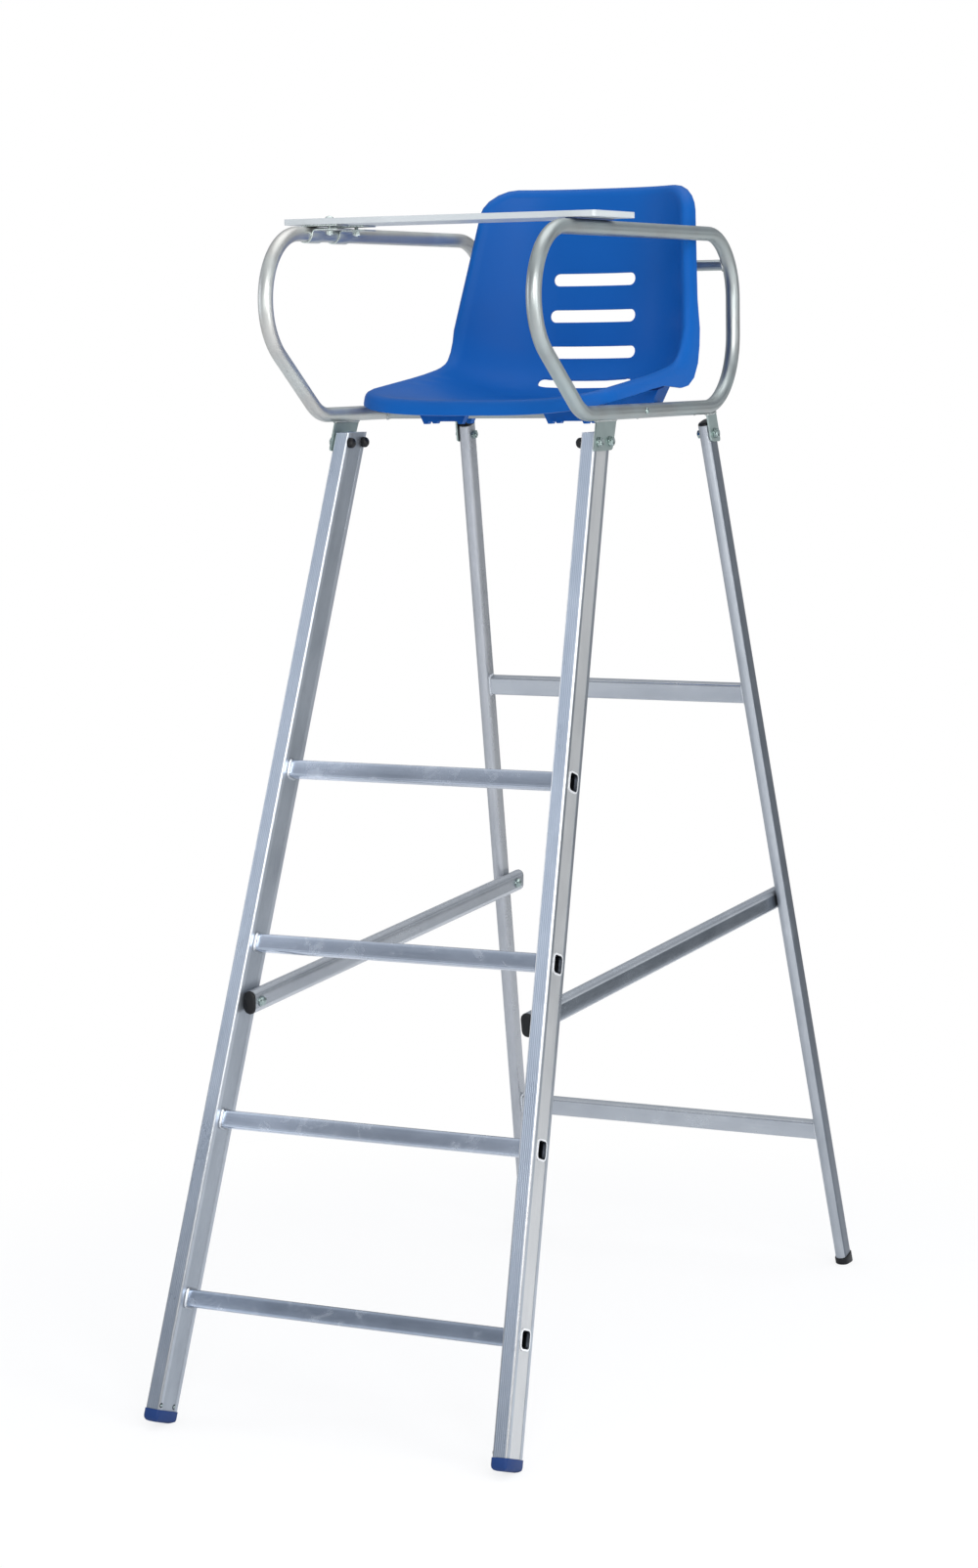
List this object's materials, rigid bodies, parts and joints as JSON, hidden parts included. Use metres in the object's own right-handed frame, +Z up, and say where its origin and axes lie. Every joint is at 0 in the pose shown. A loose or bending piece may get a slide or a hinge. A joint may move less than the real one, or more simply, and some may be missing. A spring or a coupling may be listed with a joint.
{
  "type": "badminton umpire chair",
  "caption": "Tall umpire chair: leaning ladder, rear leg frame with stays, tubular arm loops, moulded shell seat and a writing board that swings up round one arm.",
  "frame": {"origin": "on the floor, at the centre of the footprint", "axes": "+Z up, -Y towards the ladder that the umpire climbs, +X to the right for someone who faces the ladder"},
  "size_m": [0.653, 1.3795, 1.9],
  "materials": {
    "aluminium": "mill-finish extrusion",
    "satin_zinc_steel": "satin zinc plate",
    "zinc_fastener": "bright zinc plate",
    "seat_blue": "satin moulded polypropylene",
    "foot_blue": "moulded",
    "black_plastic": "moulded",
    "board_white": "white laminate",
    "rest_strip_dark": "soft strip"
  },
  "bodies": {
    "frame": {"arm_loop_left": "satin_zinc_steel", "arm_loop_right": "satin_zinc_steel", "back_crossbar": "satin_zinc_steel", "crossbar_screw_left": "zinc_fastener", "crossbar_screw_right": "zinc_fastener", "front_bracket_bolt_left_front": "zinc_fastener", "front_bracket_bolt_left_rear": "zinc_fastener", "front_bracket_bolt_right_front": "zinc_fastener", "front_bracket_bolt_right_rear": "zinc_fastener", "front_bracket_cap_nut_left_front": "black_plastic", "front_bracket_cap_nut_left_rear": "black_plastic", "front_bracket_cap_nut_right_front": "black_plastic", "front_bracket_cap_nut_right_rear": "black_plastic", "front_bracket_left": "satin_zinc_steel", "front_bracket_right": "satin_zinc_steel", "ladder_foot_left": "foot_blue", "ladder_foot_right": "foot_blue", "ladder_rung_1": "aluminium", "ladder_rung_2": "aluminium", "ladder_rung_3": "aluminium", "ladder_rung_4": "aluminium", "ladder_stile_left": "aluminium", "ladder_stile_right": "aluminium", "rear_bracket_bolt_left": "zinc_fastener", "rear_bracket_bolt_right": "zinc_fastener", "rear_bracket_left": "satin_zinc_steel", "rear_bracket_nut_left": "zinc_fastener", "rear_bracket_nut_right": "zinc_fastener", "rear_bracket_right": "satin_zinc_steel", "rear_crossbar_lower": "aluminium", "rear_crossbar_upper": "aluminium", "rear_foot_left": "black_plastic", "rear_foot_right": "black_plastic", "rear_leg_cap_left": "black_plastic", "rear_leg_cap_right": "black_plastic", "rear_leg_left": "aluminium", "rear_leg_right": "aluminium", "seat_crossbar_front": "satin_zinc_steel", "seat_crossbar_rear": "satin_zinc_steel", "seat_shell": "seat_blue", "stay_bar_left": "aluminium", "stay_bar_right": "aluminium", "stay_bolt_left_front": "zinc_fastener", "stay_bolt_left_rear": "zinc_fastener", "stay_bolt_right_front": "zinc_fastener", "stay_bolt_right_rear": "zinc_fastener", "stay_plug_front_left": "black_plastic", "stay_plug_front_right": "black_plastic", "stay_plug_rear_left": "black_plastic", "stay_plug_rear_right": "black_plastic"},
    "board": {"board_bolt_front": "zinc_fastener", "board_bolt_rear": "zinc_fastener", "board_nut_front": "zinc_fastener", "board_nut_rear": "zinc_fastener", "board_rest_strip": "rest_strip_dark", "board_strap_front": "satin_zinc_steel", "board_strap_rear": "satin_zinc_steel", "writing_board": "board_white"}
  },
  "joints": [
    {"name": "board_swing", "type": "hinge", "parent": "frame", "child": "board", "pos_m": [-0.229, -0.183, 1.8158], "axis": [0, -1, 0], "range_deg": [0, 260]}
  ]
}
